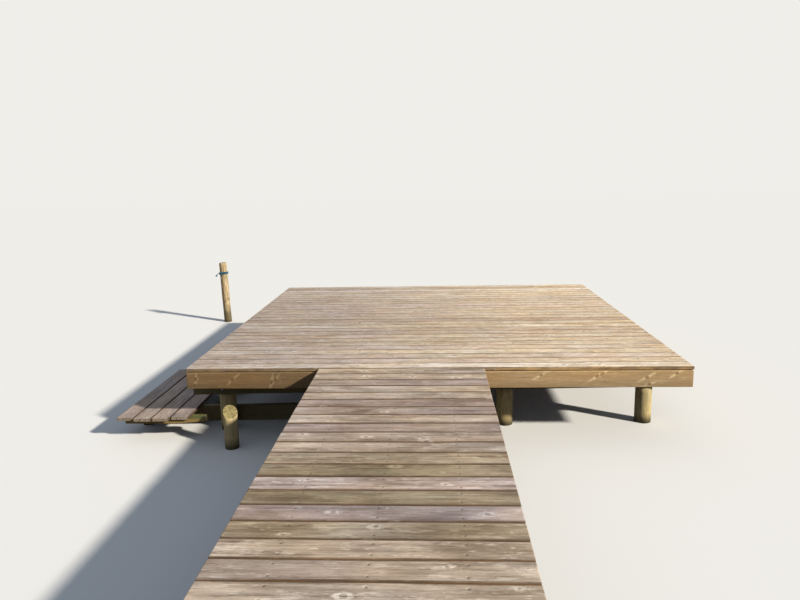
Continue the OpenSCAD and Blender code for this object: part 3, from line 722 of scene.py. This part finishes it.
def countersink(stock, beam, quad, x, y, pith, offset, tone, screws):
    """A screw hole with its sunk rim, cut into one quad of a timber's top."""
    dice = stock.random
    x += dice.uniform(-5, 5) * MM
    y += dice.uniform(-4, 4) * MM
    top = sum((stock.corners[q] for q in quad), Vector()).z / 4
    way = sum(stock.face[q][1] for q in quad) / 4
    loops = []
    for radius, depth, bruising_and_crack_shade in ((HOLE, 0.0, 1.0), (HOLE * 0.75, HOLE_DEPTH, 1.0)):
        loop = []
        for k in range(HOLE_SIDES):
            angle = math.tau * (k + 3.5) / HOLE_SIDES
            dx, dy = radius * math.cos(angle), radius * math.sin(angle)
            place = beam.start + beam.along * (x + dx) + beam.across * (y + dy)
            place.z = top - depth
            z = top - depth - beam.start.z
            face = (x + dx + offset, way - dy, tone)
            loop.append(stock.corner(place, pith.rings(x + dx, y + dy, z), face, bruising_and_crack_shade))
        loops.append(loop)
    rim, floor = loops
    for s in range(4):
        stock.faces.append([quad[s], quad[(s + 1) % 4], rim[2 * s + 1], rim[2 * s]])
        stock.faces.append([quad[(s + 1) % 4], rim[(2 * s + 2) % HOLE_SIDES], rim[2 * s + 1]])
    for k in range(HOLE_SIDES):
        after = (k + 1) % HOLE_SIDES
        stock.faces.append([rim[k], rim[after], floor[after], floor[k]])
    stock.faces.append(floor)
    if screws is not None:
        seat = beam.start + beam.along * x + beam.across * y
        seat.z = top - dice.uniform(0.5, 1.0) * MM
        screws.append((seat, dice.uniform(0, math.tau)))


def lathe(corners, faces, origin, axis, profile, sides, spin=0.0):
    """Adds a turned shape: profile is its outline as (radius, height) in millimetres, from its rim in."""
    side = axis.orthogonal().normalized()
    other = axis.cross(side)
    base = len(corners)
    for radius, height in profile:
        for k in range(sides):
            angle = spin + math.tau * k / sides
            out = side * math.cos(angle) + other * math.sin(angle)
            corners.append(origin + (out * radius + axis * height) * MM)
    for loop in range(len(profile) - 1):
        for k in range(sides):
            a = base + loop * sides + k
            b = base + loop * sides + (k + 1) % sides
            faces.append([a, b, b + sides, a + sides])
    last = base + (len(profile) - 1) * sides
    faces.append([last + k for k in range(sides)])


def fixings(name, material, shapes, angle=35):
    """Turned metal pieces joined in one: a list of (origin, axis, profile, sides, spin)."""
    corners, faces = [], []
    for shape in shapes:
        lathe(corners, faces, *shape)
    mesh = bpy.data.meshes.new(name)
    mesh.from_pydata(corners, [], faces)
    mesh.materials.append(material)
    mesh.shade_smooth()
    mesh.set_sharp_from_angle(angle=math.radians(angle))
    return settle(name, mesh, None)


# Turned outlines as (radius, height) in millimetres, with the screw's socket in the middle
SCREW_HEAD = ((3.3, -0.8), (3.1, 0.0), (1.5, 0.0), (1.3, -1.2))
FASCIA_SCREW = ((4.8, -2.0), (4.6, 0.3), (4.2, 0.5), (2.2, 0.4), (1.8, -1.4))


def screw_heads(name, seats):
    """Countersunk heads with their sockets, sunk just below the boards' faces."""
    return fixings(name, screw_steel, [(seat, UP, SCREW_HEAD, 8, spin) for seat, spin in seats])


def boards(node, name, sides, slot, rows_of, screws, tones=(), **shape):
    """All the boards of one CAD node as one piece. tones are given from its last board on, and a board
    past their end draws its own."""
    stock = Stock(name)
    for n, beam in enumerate(reversed(beams(node))):
        tone = tones[n] if n < len(tones) else None
        squared(stock, beam, rows=rows_of(beam), screws=screws, tone=tone, **shape)
    return stock.piece(name, sides, board_ends, slot, node)


deck_joists = beams("left_rim_joist", "left_deck_joists", "right_deck_joists", "right_rim_joist")
gangway_joists = beams("gangway_left_joist", "gangway_middle_joist", "gangway_right_joist")
gangway_lines = sorted({round(joist.middle.x, 4) for joist in gangway_joists})
deck_screws = []
# How light each of the platform's boards is as the photograph shows it: its place in the row of tints,
# from 0, dark, to 1, pale, from the front board on. And how many boards a node has
GROUP_BOARDS = 7
DECK_TONES = [0.9, 0.55, 0.45, 0.8, 0.4, 0.2, 0.35, 0.4, 0.15, 0.15, 0.6, 0.28, 0.0, 0.28,
              0.4, 0.42, 0.27, 0.5, 0.55, 0.28, 0.2, 0.58, 0.72, 0.7, 0.6, 1.0, 0.2, 0.7]
for group in range(1, 5):
    boards(f"deck_boards_{group}", f"deck_boards_{group}_pine", platform_pine, "platform_boards",
           lambda b: [j.middle.x - b.start.x for j in deck_joists], deck_screws,
           tones=DECK_TONES[GROUP_BOARDS * (group - 1):GROUP_BOARDS * group][::-1])
screw_heads("deck_screws", deck_screws)
gangway_screws = []
# The same for the gangway's first boards, as they follow each other from the platform. Their row of tints
# runs from mauve through pale to olive, so here the place gives a board's cast as well
BAY_BOARDS = 10
GANGWAY_TONES = [0.57, 0.5, 0.31, 0.57, 0.54, 0.22, 0.36, 0.5, 0.23, 0.48,
                 0.43, 0.76, 0.92, -0.03, 1.0, 0.18, 0.84, 0.57, 0.48, 0.57,
                 0.5, 0.55, 0.45, 0.5]
for bay in range(1, 5):
    boards(f"gangway_boards_{bay}", f"gangway_boards_{bay}_pine", gangway_pine, "gangway_boards",
           lambda b: [x - b.start.x for x in gangway_lines], gangway_screws,
           tones=GANGWAY_TONES[BAY_BOARDS * (bay - 1):BAY_BOARDS * bay],
           wander=2.2 * MM, cup=1.4 * MM, ease=3.5 * MM, lift=1.4 * MM)
screw_heads("gangway_screws", gangway_screws)
plank = Beam(solids("landing_plank")[0], along=np.array((1.0, 0.0)))
landing_beams = [plank] + beams("landing_beam", "landing_back_bearer")
landing_screws = []
boards("landing_boards", "landing_boards_pine", landing_pine, "landing_boards",
       lambda b: [c.middle.y - b.start.y for c in landing_beams], landing_screws,
       wander=1.2 * MM, cup=1.2 * MM)
screw_heads("landing_screws", landing_screws)

# The plank's end towards the platform is sawn askew, and its underside rises towards it, as in the
# CAD model
PLANK_ASKEW = math.radians(18)
PLANK_RISE = math.radians(4.5)
PLANK_THINNED = 265 * MM
stock = Stock("plank")
squared(stock, plank, wander=1.5 * MM, grid=0.09)
for place in stock.corners:
    past = max(0.0, place.x - (plank.high.x - PLANK_THINNED))
    up = (plank.high.z - place.z) / plank.height
    place.z += past * math.tan(PLANK_RISE) * up
    place.x -= past / PLANK_THINNED * (place.y - plank.low.y) * math.tan(PLANK_ASKEW)
stock.piece("landing_plank_pine", plank_pine, board_ends, "landing_boards", "landing_plank")


# Planed and sawn beams are stiff: they hardly wander and don't cup
BEAM_SHAPE = {"wander": 0.8 * MM, "cup": 0.0, "ends": 0.5 * MM, "lift": 0.0}
PLANED_EASE = 2.5 * MM
SAWN_EASE = 2 * MM


def timbers(sides, slot, ease, *nodes):
    """Each of these nodes as a piece of its own, made of its squared timbers."""
    for node in nodes:
        stock = Stock(node)
        for beam in beams(node):
            squared(stock, beam, ease=ease, grid=0.6, **BEAM_SHAPE)
        stock.piece(node + "_timber", sides, board_ends, slot, node)


for node in ("front_fascia", "back_fascia"):
    stock = Stock(node)
    squared(stock, beams(node)[0], ease=PLANED_EASE, offset=0.0, **BEAM_SHAPE)
    stock.piece(node + "_timber", facing_pine, board_ends, "facing_timber", node)
timbers(side_pine, "facing_timber", PLANED_EASE, "left_rim_joist", "right_rim_joist")
# Two screws go through each facing beam into every joist's end, this far below its top and no nearer
# to its own ends than this
FASCIA_SCREWS_BELOW = (13 * MM, 71 * MM)
FASCIA_SCREW_IN = 34 * MM
fascia_seats = []
for node, out in (("front_fascia", Vector((0, -1, 0))), ("back_fascia", Vector((0, 1, 0)))):
    beam = beams(node)[0]
    for joist in deck_joists:
        for below in FASCIA_SCREWS_BELOW:
            x = min(max(joist.middle.x, beam.low.x + FASCIA_SCREW_IN), beam.high.x - FASCIA_SCREW_IN)
            y = beam.middle.y + out.y * beam.width / 2
            fascia_seats.append((Vector((x, y, beam.high.z - below)), out, FASCIA_SCREW, 12, 0.0))
fixings("fascia_screws", screw_steel, fascia_seats)
GANGWAY_BEARERS = [f"gangway_bearer_{bay}" for bay in range(1, 5)]
timbers(frame_pine_shade_darkened, "frame_timber", SAWN_EASE, "left_deck_joists", "right_deck_joists", "front_bearer",
        "middle_bearer", "back_bearer", "gangway_left_joist", "gangway_middle_joist", "gangway_right_joist",
        *GANGWAY_BEARERS, "landing_beam", "landing_back_bearer")


# Posts and piles

# How much a pile's sawn top looks up at least, and how alike the directions of its faces are
TOP_FACES_UP = 0.3
SAME_PLANE = 0.999
# The half width of a drying crack where it has closed, and the step between a post and its seat
CRACK_CLOSED = 0.6 * MM
SEAT_STEP = 0.05 * MM


class Seat:
    """The flat that a bearer cuts in a post: what lies on the bearer's side of its face is cut away."""

    def __init__(self, beam, centre):
        side = 1 if (centre - beam.middle).dot(beam.across) > 0 else -1
        self.out = beam.across * side
        self.face = self.out.dot(beam.middle) + beam.width / 2
        self.low = beam.low.z
        self.high = beam.high.z
        self.beam = beam

    def cut(self, place, z):
        """Where this place on the post goes once the seat is cut."""
        if self.low <= z <= self.high and self.out.dot(place) < self.face:
            place = place + self.out * (self.face - self.out.dot(place))
        return place


def seats_of(centre, radius, top, bearers):
    """The seats in a post that these bearers make."""
    found = []
    for beam in bearers:
        away = centre - beam.middle
        beside = abs(away.dot(beam.across)) < beam.width / 2 + radius
        along = abs(away.dot(beam.along)) < beam.length / 2 + radius / 2
        if beside and along and beam.low.z < top:
            found.append(Seat(beam, Vector((centre.x, centre.y, 0))))
    return found


def sawn_top(node):
    """The middle and the direction of a pile's sawn top."""
    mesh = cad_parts[node].data
    tops = [p for p in mesh.polygons if p.normal.z > TOP_FACES_UP]
    biggest = max(tops, key=lambda p: p.area)
    tops = [p for p in tops if p.normal.dot(biggest.normal) > SAME_PLANE]
    corners = np.array([mesh.vertices[v].co[:] for p in tops for v in p.vertices])
    return Vector((corners.min(0) + corners.max(0)) / 2), Vector(biggest.normal)


def pole(stock, foot, axis, radius, top, top_normal, seats=(), chamfer=4 * MM, sides=30, rough=0.004,
         crack_depth=5 * MM, crack_width=4 * MM, crack_side=None, step=0.07):
    """Adds round wood that stands on the floor, with its drying crack. top is the middle of its sawn
    end, and seats are cut flat in it."""
    dice = stock.random
    east = Vector((axis.z, 0, -axis.x)).normalized()
    north = axis.cross(east)
    length = (top - foot).length
    tone = dice.random()
    offset = dice.uniform(0, 400)
    seed = dice.uniform(0, 90)
    pith = Vector((dice.uniform(-0.2, 0.2) * radius, dice.uniform(-0.2, 0.2) * radius))
    crack_at = dice.uniform(0, math.tau) if crack_side is None else math.radians(crack_side)
    crack_low = dice.uniform(-0.3, 0.3) * length
    crack_high = dice.uniform(0.75, 1.3) * length
    count = round(length / step)
    levels = [length * k / count for k in range(count)]
    for seat in seats:
        for edge in (seat.low, seat.high):
            levels = [z for z in levels if abs(z - edge) > END_FLAT]
        levels += [seat.low - SEAT_STEP, seat.low]
        levels += [seat.high, seat.high + SEAT_STEP] if seat.high < length - END_FLAT else []
    levels = [(z, 1.0) for z in sorted(levels)] + [(length - chamfer, 1.0), (length, 1 - chamfer / radius)]
    loops = []
    for z, full in levels:
        inside = min(max((z - crack_low) / (crack_high - crack_low), 0), 1)
        open_here = math.sin(math.pi * inside) ** 0.5 * (0.7 + 0.6 * noise.noise((z * 9, seed, 3)))
        half = max(CRACK_CLOSED, open_here * crack_width / 2) / radius
        centre = crack_at + 0.12 * noise.noise((z * 4, seed, 7))
        spread = [0.0, half]
        spread += [half + (math.tau - 2 * half) * k / sides for k in range(1, sides + 1)]
        spread.append(math.tau)
        loop = []
        for n, turn in enumerate(spread):
            angle = centre + turn
            bumps = noise.noise((math.cos(angle) * 2, math.sin(angle) * 2, z * 3 + seed))
            r = radius * full * (1 + rough * bumps)
            in_crack = n in (0, len(spread) - 1)
            if in_crack:
                r -= max(0.0, open_here) * crack_depth * full
            x = r * math.cos(angle)
            y = r * math.sin(angle)
            flat = foot + east * x + north * y
            # The foot lies on the floor and the top in its sawn plane, and what is between follows them
            lowest = -flat.z / axis.z
            sawn = (top - flat).dot(top_normal) / axis.dot(top_normal)
            at = lowest + (sawn - lowest) * z / length
            place = flat + axis * at
            for seat in seats:
                place = seat.cut(place, z)
            rings = (place.z, x - pith.x - 0.01 * z, y - pith.y + 0.008 * z)
            # The crack's floor gets painted shade
            bruising_and_crack_shade = 0.9 if in_crack and open_here > 0.1 else 0.0
            loop.append(stock.corner(place, rings, (at + offset, turn * radius, tone), bruising_and_crack_shade))
        loops.append(loop)
    for below, above in zip(loops, loops[1:]):
        for n in range(len(below) - 1):
            stock.faces.append([below[n], below[n + 1], above[n + 1], above[n]])
    stock.end(loops[-1][:-1])
    stock.end(loops[0][:-1][::-1])


bearers = beams("front_bearer", "middle_bearer", "back_bearer", *GANGWAY_BEARERS, "landing_beam",
                "landing_back_bearer")
bolted = []
# The front posts' cracks are turned away from the front
FRONT_CRACK_SIDE = 70
front_posts = [f"front_post_{place}" for place in range(1, 5)]
gangway_posts = [f"gangway_posts_{bay}" for bay in range(1, 5)]
for node in (*front_posts, "middle_posts", "back_posts", *gangway_posts, "landing_posts"):
    stock = Stock(node)
    for corners in sorted(solids(node), key=lambda c: (round(c[:, 1].mean(), 2), c[:, 0].mean())):
        middle = (corners.min(0) + corners.max(0)) / 2
        radius = (corners[:, 0].max() - corners[:, 0].min()) / 2
        height = corners[:, 2].max()
        foot = Vector((middle[0], middle[1], 0))
        seats = seats_of(foot, radius, height, bearers)
        pole(stock, foot, UP, radius, foot + UP * height, UP, seats,
             crack_side=FRONT_CRACK_SIDE if node in front_posts else None)
        bolted += [(foot, radius, seat) for seat in seats]
    stock.piece(node + "_pine", post_pine, post_ends, "round_posts", node)

stub_top, stub_cut = sawn_top("pile_stub")
stub_low, stub_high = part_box("pile_stub")
stub_foot = Vector((stub_top.x, stub_top.y, 0))
stock = Stock("pile_stub")
stub_r = (stub_high.x - stub_low.x) / 2
pole(stock, stub_foot, UP, stub_r, stub_top, stub_cut, chamfer=1.5 * MM, rough=0.012, step=0.04)
stock.piece("pile_stub_pine", post_pine, post_ends, "round_posts", "pile_stub")

pile_top, pile_axis = sawn_top("mooring_pile")
pile_foot = pile_top - pile_axis * (pile_top.z / pile_axis.z)
PILE_R = 57.5 * MM
stock = Stock("mooring_pile")
pole(stock, pile_foot, pile_axis, PILE_R, pile_top, pile_axis, chamfer=5 * MM, rough=0.02, sides=36,
     crack_side=-110, crack_depth=4 * MM, crack_width=3 * MM, step=0.04)
stock.piece("mooring_pile_pine", pile_pine, post_ends, "mooring_timber", "mooring_pile")

# Coach bolts through each bearer and its post, two to a seat on either side of the post's middle and
# at different heights: a domed head, and a nut on a washer behind the post
BOLT_ASIDE = 0.25
BOLT_LEVELS = ((-1, 0.3), (1, 0.7))
BOLT_SHARP = 28
BOLT_HEAD = ((14, 0), (14, 1.5), (11.5, 4.5), (7, 6.8), (2.5, 7.6))
BOLT_WASHER = ((19, -3), (19, 2.6), (18.2, 3), (9, 3))
BOLT_NUT = ((11, 3), (11, 12), (9.8, 13), (6.2, 13), (6.2, 20), (5.2, 21))
shapes = []
for foot, radius, seat in bolted:
    height = seat.high - seat.low
    for side, level in BOLT_LEVELS:
        slip = seat.beam.along * (side * BOLT_ASIDE * radius)
        at = foot + slip + UP * (seat.low + level * height)
        outer = at + seat.out * (seat.face - seat.beam.width - seat.out.dot(at))
        behind = at + seat.out * math.sqrt(radius ** 2 - (BOLT_ASIDE * radius) ** 2)
        shapes.append((outer, -seat.out, BOLT_HEAD, 16, 0.0))
        shapes.append((behind, seat.out, BOLT_WASHER, 20, 0.0))
        shapes.append((behind, seat.out, BOLT_NUT, 6, 0.3 * side))
fixings("bearer_bolts", bolt_zinc, shapes, BOLT_SHARP)


# The cord tied round the mooring pile: its route is the CAD model's, in the pile's own frame. Angles are in
# degrees, and the tail's steps in millimetres from where the last turn ends

CORD_D = 12 * MM
CORD_H = 762 * MM
CORD_LIFT = 1.2 * MM
TURN_R = PILE_R + CORD_D / 2 + CORD_LIFT
TURN_STEP = 18
TURN_START = -90
TURN_TOTAL = 1080
TURN_RISE = CORD_D + 1 * MM
TAIL_STEPS = ((-22, -4, -2), (-43, -8, -8), (-60, -11, -16), (-73, -13, -25), (-83, -15, -34),
              (-90, -16, -43), (-95, -17, -52))
# Three strands, how thick each is and how far along one turn goes, as shares of the cord's thickness
STRANDS = 3
STRAND_R = 0.26
LAY = 3.4
KNOT_STEPS = 48
KNOT_D = 10 * MM


def in_pile_frame(point):
    """A point measured along the pile's own axis, as a place in the scene."""
    east = Vector((pile_axis.z, 0, -pile_axis.x))
    return pile_foot + east * point[0] + Vector((0, 1, 0)) * point[1] + pile_axis * point[2]


def cord_route():
    """The points that the cord follows: three turns round the pile and the tail."""
    turns = []
    for a in range(0, TURN_TOTAL + 1, TURN_STEP):
        angle = math.radians(TURN_START - a)
        height = CORD_H + TURN_RISE * a / 360
        turns.append(Vector((TURN_R * math.cos(angle), TURN_R * math.sin(angle), height)))
    tail = [turns[-1] + Vector(step) * MM for step in TAIL_STEPS]
    return turns + tail


def smooth_line(points, parts):
    """More points on a smooth curve through these."""
    line = []
    for k in range(len(points) - 1):
        before, a = points[max(k - 1, 0)], points[k]
        b, after = points[k + 1], points[min(k + 2, len(points) - 1)]
        for step in range(parts):
            t = step / parts
            line.append(0.5 * (2 * a + (b - before) * t + (2 * before - 5 * a + 4 * b - after) * t * t
                               + (3 * a - before - 3 * b + after) * t ** 3))
    return line + [points[-1]]


def laid_rope(corners, faces, line, diameter, sides=7):
    """Adds a rope of three strands laid round each other along a line of points."""
    strand_r = STRAND_R * diameter
    out_r = diameter / 2 - strand_r
    ahead = (line[1] - line[0]).normalized()
    side = ahead.orthogonal().normalized()
    run = 0.0
    rings = [[] for _ in range(STRANDS)]
    for k, point in enumerate(line):
        ahead = (line[min(k + 1, len(line) - 1)] - line[max(k - 1, 0)]).normalized()
        side = (side - ahead * side.dot(ahead)).normalized()
        other = ahead.cross(side)
        run += (point - line[max(k - 1, 0)]).length
        for strand in range(STRANDS):
            turn = math.tau * (run / (LAY * diameter) + strand / STRANDS)
            out = side * math.cos(turn) + other * math.sin(turn)
            round_it = ahead.cross(out)
            ring = []
            for n in range(sides):
                angle = math.tau * n / sides
                outward = out_r + strand_r * math.cos(angle)
                corners.append(point + out * outward + round_it * strand_r * math.sin(angle))
                ring.append(len(corners) - 1)
            rings[strand].append(ring)
    for strand in rings:
        for ring, following in zip(strand, strand[1:]):
            for n in range(sides):
                after = (n + 1) % sides
                faces.append([ring[n], ring[after], following[after], following[n]])
        faces.append(strand[0][::-1])
        faces.append(strand[-1])


def rope_piece(name, material, lines, diameter):
    """A mesh of laid rope along each of these lines."""
    corners, faces = [], []
    for line in lines:
        laid_rope(corners, faces, line, diameter)
    mesh = bpy.data.meshes.new(name)
    mesh.from_pydata(corners, [], faces)
    mesh.materials.append(material)
    mesh.shade_smooth()
    return mesh


def knot_line(middle, width, turn):
    """A tight overhand knot's line, as a trefoil of this width."""
    line = []
    for k in range(KNOT_STEPS + 1):
        t = math.tau * k / KNOT_STEPS
        x = math.sin(t) + 2 * math.sin(2 * t)
        y = math.cos(t) - 2 * math.cos(2 * t)
        z = -1.1 * math.sin(3 * t)
        line.append(middle + turn @ Vector((x, y, z)) * (width / 6))
    return line


def cord_material():
    """Laid polypropylene cord: smooth plastic fibres, bleached a little in places."""
    material, tree, shader = new_material("blue_polypropylene_cord", roughness=0.55)
    place = add(tree, "TexCoord").node.outputs["Object"]
    # Bleached places 33 mm across, and fibres drawn 1.1 mm wide so that they show
    bleach = add(tree, "TexNoise", {"Vector": place, "Scale": 30.0, "Detail": 3.0})
    fibre = add(tree, "TexNoise", {"Vector": place, "Scale": 900.0, "Detail": 2.0})
    mixed = add(tree, "MapRange", {0: bleach, 1: 0.3, 2: 0.7})
    colour = add(tree, "Mix", {"Factor": mixed, "A": "#113a5e", "B": "#3f7688"}, data_type="RGBA")
    tree.links.new(colour, shader.inputs["Base Color"])
    relief = add(tree, "Bump", {"Strength": 0.6, "Distance": 0.4 * MM, "Height": fibre})
    tree.links.new(relief, shader.inputs["Normal"])
    return material


blue_cord = cord_material()
route = [in_pile_frame(point) for point in cord_route()]
cord_line = smooth_line(route, 8)
rope = rope_piece("mooring_cord_rope", blue_cord, [cord_line], CORD_D)
cord = settle("mooring_cord_rope", rope, "mooring_cord", "mooring_cord")
# A bulky knot over the turns at the pile's front, and a small one at the tail's end
face_on = Matrix.Rotation(math.radians(90), 3, "X")
hitch_middle = in_pile_frame((-30 * MM, -(TURN_R + 1 * MM), CORD_H + 1.4 * TURN_RISE))
knots = rope_piece("mooring_cord_knots", blue_cord, [
    knot_line(hitch_middle, 40 * MM, Matrix.Rotation(math.radians(20), 3, "Y") @ face_on),
    knot_line(route[-1], 26 * MM, Matrix.Rotation(math.radians(50), 3, "Y")),
], KNOT_D)
knots = settle("mooring_cord_knots", knots, "mooring_cord")


# Stage and light: a pale floor and backdrop, a soft low sun from the right and a pale sky all round

FLOOR_HALF = 60
# The floor is pale where it is seen, and throws back little light, so that undersides stay in shade
FLOOR_SEEN = "#f3f3f2"
FLOOR_THROWN = "#565654"
BACKDROP = "#f0eeea"
SUN_FROM = Vector((0.773, -0.457, 0.439))
SUN_COLOUR = "#fff7e8"
SUN_STRENGTH = 5.3
SUN_WIDTH = math.radians(3)
SKY_COLOUR = "#dbe9fc"
SKY_STRENGTH = 0.32


def seen_rays(tree):
    """One for what the camera sees, also in a shine or through glass, and none for light thrown on."""
    path = add(tree, "LightPath").node
    seen = path.outputs["Is Camera Ray"]
    for ray in ("Is Glossy Ray", "Is Transmission Ray"):
        seen = add(tree, "Math", {0: seen, 1: path.outputs[ray]}, operation="MAXIMUM")
    return seen


def lay_floor():
    """The floor, which isn't part of the jetty: matt and pale."""
    material, tree, shader = new_material("pale_floor", roughness=1.0, specular_ior_level=0.0)
    pale = add(tree, "Mix", {"Factor": seen_rays(tree), "A": FLOOR_THROWN, "B": FLOOR_SEEN}, data_type="RGBA")
    tree.links.new(pale, shader.inputs["Base Color"])
    mesh = bpy.data.meshes.new("floor")
    sides = ((-1, -1), (1, -1), (1, 1), (-1, 1))
    mesh.from_pydata([(x * FLOOR_HALF, y * FLOOR_HALF, 0) for x, y in sides], [], [[0, 1, 2, 3]])
    mesh.materials.append(material)
    floor = bpy.data.objects.new("floor", mesh)
    bpy.context.scene.collection.objects.link(floor)


def light():
    """The sun and the sky, and the pale backdrop where the sky is seen."""
    sun = bpy.data.lights.new("soft_sun", "SUN")
    sun.energy = SUN_STRENGTH
    sun.angle = SUN_WIDTH
    sun.color = linear(SUN_COLOUR)[:3]
    lamp = bpy.data.objects.new("soft_sun", sun)
    lamp.rotation_euler = SUN_FROM.to_track_quat("Z", "Y").to_euler()
    bpy.context.scene.collection.objects.link(lamp)
    world = bpy.data.worlds.new("studio")
    bpy.context.scene.world = world
    world.use_nodes = True
    tree = world.node_tree
    sky = tree.nodes["Background"]
    sky.inputs["Color"].default_value = linear(SKY_COLOUR)
    sky.inputs["Strength"].default_value = SKY_STRENGTH
    seen = add(tree, "Background", {"Color": BACKDROP, "Strength": 1.0})
    mix = add(tree, "MixShader", {0: seen_rays(tree), 1: sky.outputs[0], 2: seen})
    tree.links.new(mix, tree.nodes["World Output"].inputs["Surface"])


lay_floor()
light()
bpy.context.scene.view_settings.view_transform = "Standard"
